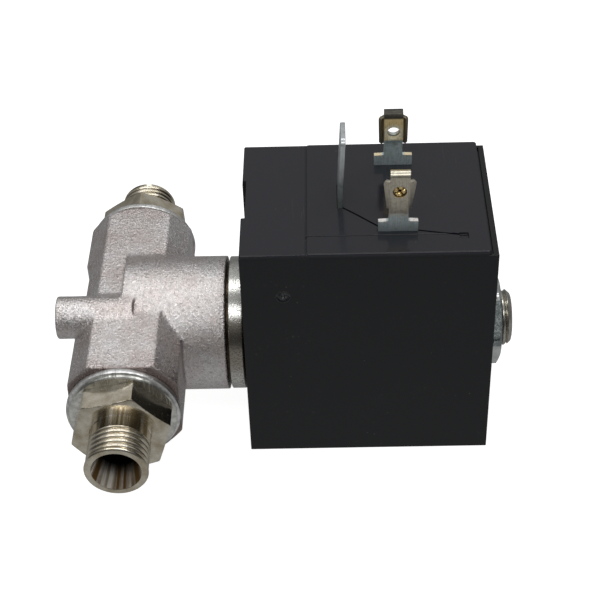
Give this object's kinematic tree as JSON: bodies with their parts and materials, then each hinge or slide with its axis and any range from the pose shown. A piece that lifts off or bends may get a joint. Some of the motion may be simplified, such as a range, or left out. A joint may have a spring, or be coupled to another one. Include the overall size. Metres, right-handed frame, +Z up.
{
  "type": "solenoid valve",
  "caption": "Direct-acting two-way solenoid valve: plated body with threaded nipple ports for small pipe and a black plug-in coil that turns on the guide tube.",
  "frame": {"origin": "centre of the coil's underside, the face that the valve stands on", "axes": "+X along the plunger's axis from the valve body to the coil nut, +Y along the ports away from the outlet, +Z up towards the terminals"},
  "size_m": [0.0772, 0.0706, 0.0562],
  "materials": {
    "black_plastic": "moulded, slightly glossy",
    "cast_nickel": "sandblasted and nickel-plated",
    "bright_nickel": "turned and nickel-plated",
    "zinc": "bright zinc plate",
    "aluminium": "turned, lightly scratched",
    "stainless": "turned",
    "brass": "turned or stamped, plated",
    "tinned": "tin-plated",
    "copper": "enamelled copper",
    "steel": "rolled",
    "rubber": "moulded",
    "green_rubber": "moulded",
    "bobbin_plastic": "moulded"
  },
  "bodies": {
    "valve": {"valve_body": "cast_nickel", "seat_insert": "brass", "body_seal": "rubber", "armature_tube": "stainless", "fixed_core": "stainless", "shading_ring": "copper", "tube_collar": "zinc", "washer_front": "aluminium", "washer_rear": "aluminium", "nipple_front": "bright_nickel", "nipple_rear": "bright_nickel", "coil_nut": "zinc", "nut_seal": "rubber", "plunger_spring": "stainless"},
    "plunger": {"plunger": "steel", "plunger_seal": "green_rubber"},
    "coil": {"coil_housing": "black_plastic", "terminal_front": "brass", "terminal_rear": "brass", "ground_tab": "tinned", "bobbin": "bobbin_plastic", "winding": "copper", "yoke_frame": "steel", "yoke_plate": "steel", "flux_sleeve": "steel", "lead_front": "copper", "lead_rear": "copper"}
  },
  "joints": [
    {"name": "plunger_slide", "type": "slide", "parent": "valve", "child": "plunger", "axis": [1, 0, 0], "range_m": [0, 0.0015], "stiffness_N_per_m": 300, "springref_m": -0.008, "deforming": ["plunger_spring"]},
    {"name": "coil_swivel", "type": "hinge", "parent": "valve", "child": "coil", "pos_m": [0, 0, 0.0165], "axis": [1, 0, 0], "continuous": true}
  ]
}
